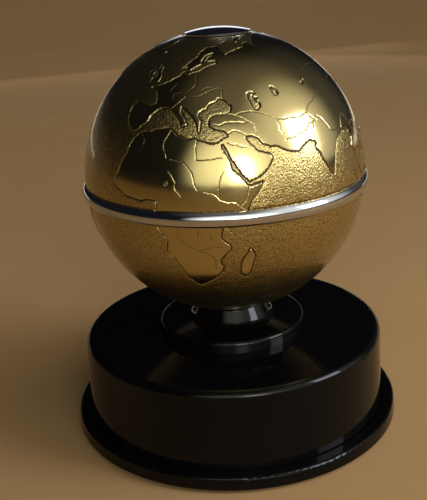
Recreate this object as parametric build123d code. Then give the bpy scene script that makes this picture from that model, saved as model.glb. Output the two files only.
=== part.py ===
from build123d import *
import os
from math import cos, radians, sqrt

# Desktop globe on a round drum stand, in millimetres.
# +Z is up and is the globe's own axis. The origin is on that axis, on the surface that it stands on.
# The stand is a moulded drum and plinth with a flared collar; a tie rod rises from it to the north
# pole. The globe is two pressed hemispheres on bronze bushes, and it turns freely round the rod.

# Driving dimensions: globe
globe_radius = 60.0
centre_z = 112.6
shell_thickness = 1.0
pole_step_radius = 12.6      # the spherical surface ends here and steps in to a flat pole pad
pole_pad_radius = 11.6
pole_pad_height = 57.6       # outer face of the pad, measured from the globe's centre
pole_step_inset = 0.3
band_half_height = 7.0
band_thickness = 1.0

# Driving dimensions: bead round the globe's waist
bead_top = -0.3              # below the globe's centre plane
bead_height = 6.0
bead_bulge = 1.5
bead_wall = 0.55
bead_seat_gap = 0.01
waist_rivets = 8
waist_rivet_radius = 0.8

# Driving dimensions: stand
foot_height = 1.6
foot_radius = 7.0
foot_circle = 46.0
plinth_bottom = 1.0
plinth_top = 7.0
plinth_radius = 73.4
plinth_draft = 0.3
plinth_edge = 1.2
plinth_inner = 54.0
plate_radius = 64.2
plate_thickness = 1.6
drum_bottom = 6.0
drum_top = 41.3
drum_radius_low = 67.6
drum_radius_high = 66.6
drum_edge = 3.0
drum_wall = 2.6
drum_roof = 2.8
drum_hub_radius = 12.0
drum_hub_depth = 4.0
rib_thickness = 2.4
post_circle = 59.5
post_radius = 5.0
fixings = 4                  # screws, posts, feet and pole rivets all come in fours
between_turn = 45.0          # screws and rivets stand half way between the feet's directions

# Driving dimensions: ballast
ballast_outer = 40.0
ballast_inner = 14.0
ballast_height = 10.0
ballast_screw_circle = 28.0

# Driving dimensions: collar under the globe
collar_foot_radius = 32.8
collar_rim_radius = 32.5     # top corner of the foot flange, before it is rounded
collar_rim_height = 5.0
collar_rim_rounding = 1.6
collar_neck_radius = 18.1    # where the neck's cone meets the flange, before the cove
collar_cove = 4.5
collar_lip_radius = 14.6
collar_lip_height = 12.1
collar_lip_rounding = 0.7
collar_bore_radius = 12.0
collar_floor = 4.0

# Driving dimensions: axle and bearings
rod_radius = 3.0
rod_hole_radius = 3.2
running_clearance = 0.05     # radial in the bushes, axial at the thrust faces
bush_radius = 4.5
sleeve_outer = 5.0
sleeve_inner = 4.0
boss_flange_radius = 11.0
boss_flange_thickness = 2.0
south_boss_spigot = 6.0
north_boss_spigot = 8.0
pole_rivet_circle = 9.5
pole_rivet_radius = 0.9
nut_across_flats = 10.0
nut_corner = nut_across_flats / sqrt(3)
base_nut_height = 5.0
collar_nut_height = 4.0
spindle_nut_height = 4.5
base_washer_thickness = 1.2
lock_washer_thickness = 1.6
thin_washer = 1.0            # collar washer and both thrust washers
base_washer_radius = 9.0
collar_washer_radius = 8.0
bush_flange_radius = 7.0     # the lower thrust washer has the same size
top_thrust_radius = 6.0
ring_radius = 5.6            # lock washer and spring washer
spring_washer_rise = 1.1
rod_end_low = 2.2            # the rod stands out this far below the lower nut
rod_end_high = 1.7           # and this far above the top nut
lower_flange = 1.65          # flange of the lower bush
lower_bush_length = 12.0
upper_flange = 1.2
upper_bush_length = 5.0
boss_collar = 2.0            # each boss reaches this far past its bush
north_boss_stand_out = 0.7
north_boss_counterbore = 10.9
screw_radius = 1.6
screw_head_radius = 3.2

# Driving dimensions: polar cap
cap_radius = 14.0
cap_crown = 60.9             # top of the cap, from the globe's centre
cap_wall = 0.6
cap_seat_gap = 0.05

# Heights of the stacked pieces, from the surface up
plate_low = foot_height
plate_high = plate_low + plate_thickness
hub_low = drum_top - drum_roof - drum_hub_depth
base_washer_low = hub_low - base_washer_thickness
lock_washer_low = base_washer_low - lock_washer_thickness
base_nut_low = lock_washer_low - base_nut_height
rod_low = base_nut_low - rod_end_low
collar_floor_top = drum_top + collar_floor
collar_washer_top = collar_floor_top + thin_washer
collar_nut_top = collar_washer_top + collar_nut_height
lower_thrust_top = collar_nut_top + thin_washer
lower_bush_low = lower_thrust_top + running_clearance
south_boss_low = lower_bush_low + lower_flange
south_pad_inside = centre_z - pole_pad_height + shell_thickness
lower_bush_high = south_boss_low + lower_bush_length
south_boss_high = lower_bush_high + boss_collar
north_pad_outside = centre_z + pole_pad_height
north_pad_inside = north_pad_outside - shell_thickness
north_boss_high = north_pad_outside + north_boss_stand_out
upper_bush_seat = north_boss_high - north_boss_counterbore
upper_bush_low = upper_bush_seat - upper_bush_length
north_boss_low = upper_bush_low - boss_collar
upper_bush_high = upper_bush_seat + upper_flange
top_thrust_low = upper_bush_high + running_clearance
top_thrust_high = top_thrust_low + thin_washer
spring_washer_high = top_thrust_high + spring_washer_rise
spindle_nut_high = spring_washer_high + spindle_nut_height
rod_high = spindle_nut_high + rod_end_high


def turned(outline):
    """Turn a closed outline of radius and height round the vertical axis."""
    return revolve(Plane.XZ * make_face(outline), Axis.Z)


def turned_points(*points):
    """Turn a closed outline with straight sides round the vertical axis."""
    return turned(Polyline(*points, close=True))


def rod(radius, low, high):
    """Plain round bar between two heights."""
    return Pos(0, 0, low) * Cylinder(radius, high - low, align=(Align.CENTER, Align.CENTER, Align.MIN))


def tube(outer, inner, low, high):
    """Washer or tube between two heights."""
    return rod(outer, low, high) - rod(inner, low, high)


def around(piece, circle, turn, count=fixings):
    """Copies of a piece, spaced evenly on a circle round the vertical axis."""
    return [Rot(0, 0, turn + 360 * step / count) * Pos(circle, 0, 0) * piece for step in range(count)]


def hex_nut(low, high):
    """Hexagon nut with its corners chamfered at both ends."""
    bevel = 0.7
    prism = Pos(0, 0, low) * extrude(
        RegularPolygon(nut_across_flats / 2, 6, major_radius=False), high - low)
    rim = turned_points((0, low), (nut_corner - bevel, low), (nut_corner, low + bevel / 2),
                        (nut_corner, high - bevel / 2), (nut_corner - bevel, high), (0, high))
    return (prism & rim) - rod(rod_radius, low, high)


def countersunk_screw(low, head, tip):
    """Countersunk screw with its head down, and a cross recess in the head."""
    body = turned_points((0, low), (screw_head_radius, low), (screw_radius, low + head),
                         (screw_radius, tip - 1.2), (0.5, tip), (0, tip))
    recess_depth = 0.9
    for turn in (0, 90):
        body -= Rot(0, 0, turn) * Pos(0, 0, low + recess_depth / 2) * Box(3.6, 0.8, recess_depth)
    return body


def shell_outline(side):
    """Half outline of a pressed hemisphere; side is 1 for north and -1 for south."""
    outer = globe_radius
    inner = globe_radius - shell_thickness
    hole = north_boss_spigot if side > 0 else south_boss_spigot
    step_in = pole_step_radius - pole_step_inset
    pad_in = pole_pad_radius - pole_step_inset
    pad_inner_height = pole_pad_height - shell_thickness

    def at(radius, height):
        return (radius, centre_z + side * height)

    def on_sphere(size, radius):
        return at(radius, sqrt(size ** 2 - radius ** 2))

    outer_end = on_sphere(outer, pole_step_radius)
    inner_end = on_sphere(inner, step_in)
    return (ThreePointArc(at(outer, 0), on_sphere(outer, outer * cos(radians(45))), outer_end)
            + Polyline(outer_end, at(pole_pad_radius, pole_pad_height), at(hole, pole_pad_height),
                       at(hole, pad_inner_height), at(pad_in, pad_inner_height), inner_end)
            + ThreePointArc(inner_end, on_sphere(inner, inner * cos(radians(45))), at(inner, 0))
            + Line(at(inner, 0), at(outer, 0)))


def waist_rivet_bars():
    """Radial bars where the waist rivets pass through the shell and the joining band."""
    bar = Rot(0, 90, 0) * Cylinder(waist_rivet_radius, 8)
    height = centre_z + bead_top - bead_height / 2
    return around(Pos(0, 0, height) * bar, globe_radius - 2, between_turn / 2, waist_rivets)


def pole_rivet_bars(low, high):
    """Upright bars where the pole rivets pass through a pad and a boss flange."""
    return around(rod(pole_rivet_radius, low, high), pole_rivet_circle, between_turn)


def base_drum():
    """Moulded drum: drafted wall, rounded top edge, roof, hub, ribs and four screw posts."""
    wall_top = drum_top - drum_edge
    roof_low = drum_top - drum_roof
    corner = drum_edge * (1 - cos(radians(45)))
    outline = (Line((drum_radius_low, drum_bottom), (drum_radius_high, wall_top))
               + ThreePointArc((drum_radius_high, wall_top),
                               (drum_radius_high - corner, drum_top - corner),
                               (drum_radius_high - drum_edge, drum_top))
               + Polyline((drum_radius_high - drum_edge, drum_top), (rod_hole_radius, drum_top),
                          (rod_hole_radius, hub_low), (drum_hub_radius, hub_low),
                          (drum_hub_radius, roof_low), (drum_radius_high - drum_wall, roof_low),
                          (drum_radius_low - drum_wall, drum_bottom), (drum_radius_low, drum_bottom)))
    drum = turned(outline)
    rib_length = post_circle - drum_hub_radius
    rib = Pos(drum_hub_radius - 0.5, 0, hub_low) * Box(
        rib_length, rib_thickness, drum_hub_depth + 1, align=(Align.MIN, Align.CENTER, Align.MIN))
    for piece in around(rod(post_radius, drum_bottom, roof_low + 1), post_circle, between_turn):
        drum += piece
    for piece in around(rib, 0, between_turn):
        drum += piece
    for hole in around(rod(screw_radius, drum_bottom, drum_bottom + 14), post_circle, between_turn):
        drum -= hole
    return drum


def plinth_ring():
    """Wide moulded foot ring with a rebate for the drum and a recess for the bottom plate."""
    rebate = drum_radius_low + 0.6
    recess = plate_radius + 0.3
    corner = plinth_edge * (1 - cos(radians(45)))
    top_radius = plinth_radius - plinth_draft
    outline = (Polyline((recess, plinth_bottom), (plinth_radius - 0.6, plinth_bottom),
                        (plinth_radius, plinth_bottom + 0.6), (top_radius, plinth_top - plinth_edge))
               + ThreePointArc((top_radius, plinth_top - plinth_edge),
                               (top_radius - corner, plinth_top - corner),
                               (top_radius - plinth_edge, plinth_top))
               + Polyline((top_radius - plinth_edge, plinth_top), (rebate, plinth_top),
                          (rebate, drum_bottom), (plinth_inner, drum_bottom),
                          (plinth_inner, plate_high), (recess, plate_high), (recess, plinth_bottom)))
    ring = turned(outline)
    for hole in around(rod(screw_radius, plate_high, drum_bottom), post_circle, between_turn):
        ring -= hole
    return ring


def bottom_plate():
    """Sheet steel disc with countersunk holes for both sets of screws."""
    plate = rod(plate_radius, plate_low, plate_high)
    sink = turned_points((0, plate_low), (screw_head_radius, plate_low),
                         (screw_radius, plate_high), (0, plate_high))
    for hole in around(sink, post_circle, between_turn) + around(sink, ballast_screw_circle, between_turn):
        plate -= hole
    return plate


def ballast_weight():
    """Cast ring that keeps the stand steady, with tapped holes on its underside."""
    top = plate_high + ballast_height
    bevel = 1.5
    ring = turned_points((ballast_inner, plate_high), (ballast_outer, plate_high),
                         (ballast_outer, top - bevel), (ballast_outer - bevel, top),
                         (ballast_inner + bevel, top), (ballast_inner, top - bevel))
    for hole in around(rod(screw_radius, plate_high, plate_high + 7), ballast_screw_circle, between_turn):
        ring -= hole
    return ring


def rubber_feet():
    """Four round studs with a soft lower edge."""
    stud = rod(foot_radius, 0, foot_height)
    stud = fillet(stud.edges().group_by(Axis.Z)[0], 0.6)
    return Compound(children=around(stud, foot_circle, 0))


def neck_collar():
    """Moulded collar that carries the globe: foot flange, cove, conical neck and rounded lip."""
    lip = drum_top + collar_lip_height
    rim = drum_top + collar_rim_height
    chamfer = 0.4
    floor_chamfer = 2.0
    lip_inside = (collar_bore_radius + chamfer, lip)
    outside = FilletPolyline(
        (collar_foot_radius, drum_top), (collar_rim_radius, rim), (collar_neck_radius, rim),
        (collar_lip_radius, lip), lip_inside,
        radius=[collar_rim_rounding, collar_cove, collar_lip_rounding])
    inside = Polyline(
        lip_inside, (collar_bore_radius, lip - chamfer),
        (collar_bore_radius, collar_floor_top + floor_chamfer),
        (collar_bore_radius - floor_chamfer, collar_floor_top), (rod_hole_radius, collar_floor_top),
        (rod_hole_radius, drum_top), (collar_foot_radius, drum_top))
    return turned(outside + inside)


def spindle():
    """Steel tie rod, chamfered at both ends, with a screwdriver slot in its top."""
    bevel = 0.6
    bar = turned_points((0, rod_low), (rod_radius - bevel, rod_low), (rod_radius, rod_low + bevel),
                        (rod_radius, rod_high - bevel), (rod_radius - bevel, rod_high), (0, rod_high))
    return bar - Pos(0, 0, rod_high - 0.5) * Box(2 * rod_radius, 1.0, 1.0)


def split_lock_washer():
    """Flat-section ring with one slanting cut."""
    ring = tube(ring_radius, rod_radius, lock_washer_low, base_washer_low)
    slit = Pos(4.5, 0, (lock_washer_low + base_washer_low) / 2) * Rot(30, 0, 0) * Box(4.0, 0.5, 4.0)
    return ring - slit


def curved_spring_washer():
    """Thin ring bent over a cylinder, so that it presses the bearings together."""
    bend_radius = 22.0
    thickness = 0.4
    crest = spring_washer_high
    ring = tube(ring_radius, rod_radius, top_thrust_high, crest)
    lying = Pos(0, 0, crest - bend_radius) * Rot(90, 0, 0)
    bent = lying * Cylinder(bend_radius, 20) - lying * Cylinder(bend_radius - thickness, 20)
    return ring & bent


def hemisphere(side):
    """Pressed shell with a stepped pole pad; the southern one also has the waist rivet holes."""
    shell = turned(shell_outline(side))
    pad_low = centre_z + side * pole_pad_height - 2
    for bar in pole_rivet_bars(pad_low, pad_low + 4):
        shell -= bar
    if side < 0:
        for bar in waist_rivet_bars():
            shell -= bar
    return shell


def joining_band():
    """Narrow inner zone that lines up the two shells, riveted to the southern one."""
    outer = globe_radius - shell_thickness
    inner = outer - band_thickness
    reach_out = sqrt(outer ** 2 - band_half_height ** 2)
    reach_in = sqrt(inner ** 2 - band_half_height ** 2)
    low = centre_z - band_half_height
    high = centre_z + band_half_height
    band = turned(ThreePointArc((reach_out, low), (outer, centre_z), (reach_out, high))
                  + Line((reach_out, high), (reach_in, high))
                  + ThreePointArc((reach_in, high), (inner, centre_z), (reach_in, low))
                  + Line((reach_in, low), (reach_out, low)))
    for bar in waist_rivet_bars():
        band -= bar
    return band


def bead_heights():
    """Lower edge, middle and upper edge of the bead."""
    high = centre_z + bead_top
    return high - bead_height, high - bead_height / 2, high


def waist_rivet_group():
    """Rivets through the southern shell and the joining band, hidden inside the bead."""
    low, middle, high = bead_heights()
    inside = globe_radius - shell_thickness - band_thickness
    seat = sqrt(globe_radius ** 2 - (middle - centre_z) ** 2) + 0.06
    shank = rod(waist_rivet_radius, inside - 0.6, seat)
    head = turned_points((0, seat), (1.3, seat), (1.0, seat + 0.4), (0, seat + 0.55))
    rivet = Pos(0, 0, middle) * Rot(0, 90, 0) * (shank + head)
    return Compound(children=around(rivet, 0, between_turn / 2, waist_rivets))


def equator_ring():
    """Rolled bead of half-round section, hollow behind, gripping the rim of the southern shell."""
    low, middle, high = bead_heights()

    def skin(height, stand_off=bead_seat_gap):
        return (sqrt(globe_radius ** 2 - (height - centre_z) ** 2) + stand_off, height)

    outer_low, outer_high = skin(low), skin(high)
    inner_low, inner_high = skin(low + bead_wall), skin(high - bead_wall)
    crest = skin(middle, bead_bulge)
    hollow = skin(middle, bead_bulge - bead_wall)
    return turned(ThreePointArc(outer_low, crest, outer_high)
                  + Line(outer_high, inner_high)
                  + ThreePointArc(inner_high, hollow, inner_low)
                  + Line(inner_low, outer_low))


def pole_rivet_group(skin, inside, side):
    """Four rivets through a pole pad and its boss flange; skin is the pad's outer face."""
    low, high = min(skin, inside), max(skin, inside)
    rivet = rod(pole_rivet_radius, low, high)
    for end, away in ((skin, side), (inside, -side)):
        rivet += turned_points((0, end), (1.25, end), (0.9, end + away * 0.4), (0, end + away * 0.5))
    return Compound(children=around(rivet, pole_rivet_circle, between_turn))


def south_boss():
    """Turned boss at the south pole: spigot, flange and hub, bored for the lower bush."""
    flange_top = south_pad_inside + boss_flange_thickness
    boss = turned_points((bush_radius, south_boss_low), (south_boss_spigot, south_boss_low),
                         (south_boss_spigot, south_pad_inside), (boss_flange_radius, south_pad_inside),
                         (boss_flange_radius, flange_top), (7.0, flange_top), (7.0, south_boss_high),
                         (sleeve_outer, south_boss_high), (sleeve_outer, lower_bush_high),
                         (bush_radius, lower_bush_high))
    for bar in pole_rivet_bars(south_pad_inside, flange_top):
        boss -= bar
    return boss


def north_boss():
    """Turned boss at the north pole, counterbored for the thrust washers and the spindle nut."""
    flange_low = north_pad_inside - boss_flange_thickness
    pocket = 6.5
    boss = turned_points((pocket, north_boss_high), (north_boss_spigot, north_boss_high),
                         (north_boss_spigot, north_pad_inside), (boss_flange_radius, north_pad_inside),
                         (boss_flange_radius, flange_low), (north_boss_spigot, flange_low),
                         (north_boss_spigot, north_boss_low), (sleeve_outer, north_boss_low),
                         (sleeve_outer, upper_bush_low), (bush_radius, upper_bush_low),
                         (bush_radius, upper_bush_seat), (pocket, upper_bush_seat))
    for bar in pole_rivet_bars(flange_low, north_pad_inside):
        boss -= bar
    return boss


def flanged_bush(low, high, flange_radius, flange_at, flange_thickness):
    """Bronze bush with one flange; flange_at is the flange's lower face."""
    bush = rod(bush_radius, low, high) + rod(flange_radius, flange_at, flange_at + flange_thickness)
    return bush - rod(rod_radius + running_clearance, min(low, flange_at), high + flange_thickness)


def polar_cap():
    """Shallow polished dome over the north boss, held by a ring that springs into the pocket."""
    crown = centre_z + cap_crown
    seat = centre_z + cap_seat_gap
    rim = seat + sqrt(globe_radius ** 2 - cap_radius ** 2)
    rim_in = seat + sqrt(globe_radius ** 2 - (cap_radius - 0.9) ** 2)
    edge = (cap_radius, rim + 0.25)
    shoulder = (cap_radius - 0.5, rim + 0.65)

    fall = crown - shoulder[1]
    dome_radius = (shoulder[0] ** 2 + fall ** 2) / (2 * fall)

    def dome(radius, drop=0.0):
        return (radius, crown - dome_radius + sqrt((dome_radius - drop) ** 2 - radius ** 2))

    inner_edge = dome(cap_radius - 2.0, cap_wall)
    clip_out, clip_in = 6.5, 5.9
    clip_low = spindle_nut_high + 0.6
    dome_outline = (ThreePointArc((0, crown), dome(shoulder[0] / 2), shoulder)
                    + Polyline(shoulder, edge, (cap_radius, rim), (cap_radius - 0.9, rim_in), inner_edge)
                    + ThreePointArc(inner_edge, dome(inner_edge[0] / 2, cap_wall), (0, crown - cap_wall))
                    + Line((0, crown - cap_wall), (0, crown)))
    return turned(dome_outline) + tube(clip_out, clip_in, clip_low, dome(clip_out)[1] - cap_wall / 2)


os.makedirs("parts", exist_ok=True)

pieces = {
    # stand
    "rubber_feet": rubber_feet(),
    "bottom_plate": bottom_plate(),
    "plinth_ring": plinth_ring(),
    "base_drum": base_drum(),
    "ballast_weight": ballast_weight(),
    "ballast_screws": Compound(children=around(
        countersunk_screw(plate_low, plate_thickness, plate_high + 7), ballast_screw_circle, between_turn)),
    "plate_screws": Compound(children=around(
        countersunk_screw(plate_low, plate_thickness, drum_bottom + 12), post_circle, between_turn)),
    "neck_collar": neck_collar(),
    "spindle": spindle(),
    "base_nut": hex_nut(base_nut_low, lock_washer_low),
    "base_lock_washer": split_lock_washer(),
    "base_washer": tube(base_washer_radius, rod_radius, base_washer_low, hub_low),
    "collar_washer": tube(collar_washer_radius, rod_radius, collar_floor_top, collar_washer_top),
    "collar_nut": hex_nut(collar_washer_top, collar_nut_top),
    "lower_thrust_washer": tube(bush_flange_radius, rod_radius, collar_nut_top, lower_thrust_top),
    "top_thrust_washer": tube(top_thrust_radius, rod_radius, top_thrust_low, top_thrust_high),
    "spring_washer": curved_spring_washer(),
    "spindle_nut": hex_nut(spring_washer_high, spindle_nut_high),
    # globe
    "southern_hemisphere": hemisphere(-1),
    "northern_hemisphere": hemisphere(1),
    "joining_band": joining_band(),
    "waist_rivets": waist_rivet_group(),
    "equator_ring": equator_ring(),
    "south_boss": south_boss(),
    "south_boss_rivets": pole_rivet_group(
        centre_z - pole_pad_height, south_pad_inside + boss_flange_thickness, -1),
    "lower_bush": flanged_bush(south_boss_low, lower_bush_high, bush_flange_radius, lower_bush_low,
                               south_boss_low - lower_bush_low),
    "axle_sleeve": tube(sleeve_outer, sleeve_inner, lower_bush_high, upper_bush_low),
    "upper_bush": flanged_bush(upper_bush_low, upper_bush_high, 6.4, upper_bush_seat,
                               upper_bush_high - upper_bush_seat),
    "north_boss": north_boss(),
    "north_boss_rivets": pole_rivet_group(
        north_pad_outside, north_pad_inside - boss_flange_thickness, 1),
    "polar_cap": polar_cap(),
}

for name, piece in pieces.items():
    export_step(piece, f"parts/{name}.step")
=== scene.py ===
from math import ceil, cos, hypot, radians, sin

import bmesh
import bpy
import numpy as np
from mathutils import Matrix, Quaternion, Vector, kdtree, noise


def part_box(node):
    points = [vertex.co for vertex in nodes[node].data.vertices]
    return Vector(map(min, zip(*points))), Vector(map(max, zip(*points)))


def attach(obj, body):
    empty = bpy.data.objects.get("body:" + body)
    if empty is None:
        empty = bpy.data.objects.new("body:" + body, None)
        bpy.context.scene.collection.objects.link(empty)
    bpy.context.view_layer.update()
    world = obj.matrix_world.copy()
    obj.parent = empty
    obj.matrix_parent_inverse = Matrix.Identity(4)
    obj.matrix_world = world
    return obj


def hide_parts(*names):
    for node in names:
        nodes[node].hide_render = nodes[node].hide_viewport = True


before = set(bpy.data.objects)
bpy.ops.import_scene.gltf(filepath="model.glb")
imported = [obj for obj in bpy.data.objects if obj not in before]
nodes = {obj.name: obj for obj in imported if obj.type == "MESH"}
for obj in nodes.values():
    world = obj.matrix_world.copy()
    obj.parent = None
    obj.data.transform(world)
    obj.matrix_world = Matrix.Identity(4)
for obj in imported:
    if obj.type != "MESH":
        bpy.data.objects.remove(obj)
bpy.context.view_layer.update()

MM = 0.001

# ---- Where things are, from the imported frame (millimetres unless a name says otherwise) ----

ball_low, ball_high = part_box("northern_hemisphere")
ball_radius = (ball_high.x - ball_low.x) / 2 / MM
ball_centre_z = ball_low.z / MM
bead_low, bead_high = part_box("equator_ring")
bead_bottom = bead_low.z / MM - ball_centre_z
bead_top = bead_high.z / MM - ball_centre_z

shell_thickness = 1.0
pole_step_radius = 12.6  # where the relief stops and the pole's flat pad is pressed in
pole_pad_radius = 11.6
pole_pad_height = 57.6
pole_holes = {"northern_hemisphere": 8.0, "southern_hemisphere": 6.0}

# ---- Depths and widths of the map's engraving ----

facing_longitude = 36.0  # this meridian faces the front, -Y
groove_depth = 0.52  # the coastline's cut
sea_depth = 0.24  # the sea lies this far below the land
land_lip = 0.30  # from the coastline to where the land is level
groove_wall = 0.08
groove_far = -0.16
sea_foot = -0.46  # from the coastline to where the sea is level
border_half_width = 0.24
border_depth = 0.14
hammer_size = 2.3  # spacing of the sea's larger beaten dents
hammer_depth = 0.05
sea_beating_fade = 1.2  # the beaten dents come in over this distance from the shore
border_fade = 0.2  # and the borders stop this far short of the shore
smooth_margin = 0.2  # plain skin beside the bead and the pole's step
line_step = 0.25  # spacing of the samples along a drawn line
line_softening = 3  # passes of averaging, which round its corners
broad_wander = 0.34  # the lines stray sideways by about this, in waves of the size below
broad_wander_size = 3.2
fine_wander = 0.13
fine_wander_size = 1.3

# ---- Triangle sizes on the relief ----

ball_subdivisions = 6
halvings = 4  # how often an edge may be halved
finest_edge = 0.45
sea_edge = 1.0
land_edge = 1.7
edge_growth = 0.55  # how fast the triangles grow away from a line
edge_slack = 1.3  # an edge is halved when it is this many times too long
skin_tolerance = 0.02
rim_tolerance = 0.05  # corners this near to a cutting plane are taken as on it
corner_share = 0.12  # a curve this near to a corner, as a share of finest_edge, uses the corner
cut_reach = 1.5  # offsets are exact only this near to a line
far_away = 9.0  # offset given to points that aren't on the skin
chord_sag = 0.1  # the middle of a split edge lies at most this far under the skin

# ---- The map: corners of each coast and border, as longitude and latitude in degrees ----
# From Africa to India they are this globe's own stylised lines; the rest follow the real coasts, simplified

mediterranean_north = [
    (-3, 27.5), (-1, 28.5), (1, 30.5), (3, 32), (3.5, 33.5), (4.5, 34.5), (7, 36.5), (9, 37.5),
    (11.5, 37.5), (13.5, 36.5), (15.5, 35), (17.5, 33), (18.5, 31.5), (19, 30.5), (21.5, 31), (20, 33.5),
    (18, 36), (18, 38), (20.5, 36.5), (22.5, 35), (24, 33), (25, 31.5), (26, 29), (26.5, 28),
]
black_sea_and_levant = [
    (27, 29), (27, 32.5), (26, 34.5), (26, 35.5), (27.5, 36.5), (29, 36.5), (29.5, 38), (31, 39),
    (33, 39.5), (34, 40), (34.5, 41), (35.5, 41), (37, 40.5), (38.5, 39), (40, 38), (40, 37), (39.5, 35.5),
    (38.5, 35), (36.5, 34.5), (34.5, 34.5), (32.5, 34.5), (31, 33.5), (30.5, 32.5), (30.5, 31), (31.5, 30),
    (33, 29.5), (35, 29), (36.5, 28.5), (37.5, 27.5), (38, 26.5), (37, 26),
]
africa_north = [
    (35, 25), (33, 24.5), (30, 24.5), (28.5, 25), (26.5, 25.5), (24.5, 26.5), (23, 26), (21.5, 26),
    (19.5, 27), (17.5, 27.5), (16.5, 28.5), (14.5, 29.5), (12, 29.5), (10, 29), (7.5, 29), (5.5, 28),
    (3, 28), (0.5, 27.5),
]
africa_west = [
    (-1, 26), (-2.5, 24.5), (-3, 23), (-4, 20.5), (-5, 18.5), (-6.5, 16.5), (-7, 14), (-9, 11),
    (-10.5, 8.5), (-8.5, 7), (-6.5, 6), (-4.5, 4.5), (0, 3.5), (3.5, 3.5), (6.5, 4), (10, 4), (10.5, 3),
    (10, 1), (9.5, -2), (9, -5), (10.5, -7.5), (11.5, -9), (12.5, -10.5), (13, -12), (12.5, -13.5),
    (12, -16), (13.5, -18), (15.5, -21.5), (17, -25), (18.5, -29), (21, -31.5), (22.5, -33),
]
africa_east = [
    (25.5, -31.5), (28.5, -30), (30.5, -28), (32, -26), (33.5, -25), (34, -23), (33, -22), (33, -20.5),
    (34, -18.5), (35.5, -16.5), (37, -15), (37, -13.5), (36, -12.5), (34, -10.5), (33.5, -9.5),
    (34.5, -6.5), (37, -5), (40.5, -2.5), (43.5, 0), (44.5, 2.5), (46, 4.5), (47, 5.5), (48, 7), (49, 9),
    (50, 10), (47.5, 9.5), (45.5, 8.5), (44, 9),
]
red_sea = [
    (43, 10.5), (41.5, 12), (39.5, 14), (38.5, 15), (38, 17.5), (37, 19.5), (35.5, 22), (35, 23),
    (35.5, 24), (37, 22), (38, 19.5), (39.5, 17), (41, 14.5), (42.5, 12.5), (44, 11),
]
arabia_and_gulf = [
    (44.5, 10), (45.5, 10.5), (47, 11), (49.5, 12), (51, 13.5), (52.5, 15), (54, 17), (54.5, 18),
    (53.5, 19), (52.5, 19.5), (51, 20), (49.5, 20.5), (48.5, 21), (47, 22.5), (46, 23.5), (45, 25),
    (44.5, 25.5), (45, 26), (46, 26), (47.5, 26), (48.5, 25.5), (50, 24.5), (51, 23), (52.5, 22.5),
    (54, 21.5), (55.5, 21.5), (57.5, 21),
]
india = [
    (59, 20), (61.5, 19), (63.5, 18.5), (65.5, 18.5), (67, 19.5), (69, 20.5), (71.5, 21.5), (73, 21),
    (74.5, 20.5), (74, 19.5), (74, 18), (75, 16.5), (76.5, 13), (78.5, 10), (81, 7), (81.5, 9), (82.5, 12),
    (84, 15.5), (85.5, 18), (87.5, 20), (91, 21),
]
indochina_and_china = [
    (92.5, 22), (96.5, 21), (98, 17.5), (96.5, 14.5), (98.5, 12), (99.5, 9.5), (100.5, 6.5), (102.5, 3.5),
    (105, 1), (104.5, 5), (102.5, 7), (101, 10), (101.5, 13), (103, 13), (105, 11), (107, 9.5), (109, 12),
    (108.5, 15.5), (106.5, 19.5), (110, 21), (114, 22), (118, 24.5), (121, 28), (122, 31), (120, 34),
    (122, 37), (119.5, 37), (118, 39), (121.5, 39.5), (125, 38), (126.5, 34.5), (129.5, 36), (128.5, 39.5),
    (131, 42.5), (135, 43.5), (140, 48), (141, 52), (137, 54.5),
]
siberia = [
    (143, 59), (150, 59.5), (156, 61.5), (161, 61), (156, 57), (155.5, 54), (157, 51), (161.5, 54),
    (163, 57), (164, 59.5), (170, 60), (175, 62), (180, 63), (186, 64.5), (189, 66), (180, 68.5), (170, 69),
    (160, 69.5), (150, 71), (140, 72), (125, 72.5), (113, 74), (104, 76), (95, 75), (82, 72.5), (74, 68.5),
    (72, 66), (70, 67), (67, 69.5), (62, 68.5), (60, 66), (53, 65), (45.5, 63.5), (41, 61.5), (37.5, 64.5),
    (38, 66),
]
scandinavia = [
    (34, 68), (26, 67.5), (21, 64.5), (19.5, 61), (16, 58.5), (14.5, 57), (12.5, 54.5), (14, 55),
    (16, 55.5), (18, 53.5), (19.5, 54.5), (22, 56), (25, 57), (24, 58), (25, 61), (27.5, 62.5),
    (31.5, 63.5), (31.5, 62.5), (28, 60.5), (27, 58.5), (30, 58.5), (34.5, 58.5),
]
europe_west = [
    (34.5, 57), (32, 56.5), (28, 55.5), (24.5, 53.5), (18.5, 52), (17, 51.5), (15.5, 53.5), (14, 53),
    (12.5, 51), (10.5, 50), (8, 48.5), (5, 47.5), (2, 46.5), (-2, 45.5), (1.5, 45), (4, 42), (4.5, 39),
    (1.5, 38), (-3.5, 38.5), (-7, 39), (-9, 37.5), (-9, 35), (-8, 31.5), (-5.5, 28.5),
]
old_world = (
    mediterranean_north + black_sea_and_levant + africa_north + africa_west + africa_east + red_sea
    + arabia_and_gulf + india + indochina_and_china + siberia + scandinavia + europe_west
)

north_america_east = [
    (-167, 65.5), (-162, 66.5), (-166, 68.5), (-157, 71), (-141, 69.5), (-128, 70), (-115, 68.5),
    (-107, 68.5), (-95, 69), (-94, 71.5), (-86, 69), (-82, 68), (-87, 64), (-94, 61), (-94.5, 58.5),
    (-88, 56.5), (-82.5, 55), (-80, 51.5), (-79, 54.5), (-77, 58), (-78, 62.5), (-72, 61.5), (-68, 59),
    (-64, 60), (-61, 56), (-56, 52.5), (-60, 50), (-66, 50), (-70, 47.5), (-65, 48.5), (-64.5, 46.5),
    (-61, 46), (-66, 43.5), (-66.5, 45), (-70, 43.5), (-70.5, 41.5), (-74, 40.5), (-76, 37), (-76, 35),
    (-81, 31.5), (-80.5, 27.5), (-81, 25.5), (-83, 29.5), (-89, 30), (-94.5, 29.5), (-97.5, 27.5),
    (-97.5, 22), (-95.5, 19), (-92, 18.5), (-90.5, 21), (-87, 21.5), (-88.5, 16), (-83.5, 15), (-83.5, 11),
    (-81.5, 9), (-79, 9.5), (-77, 8.5),
]
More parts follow.
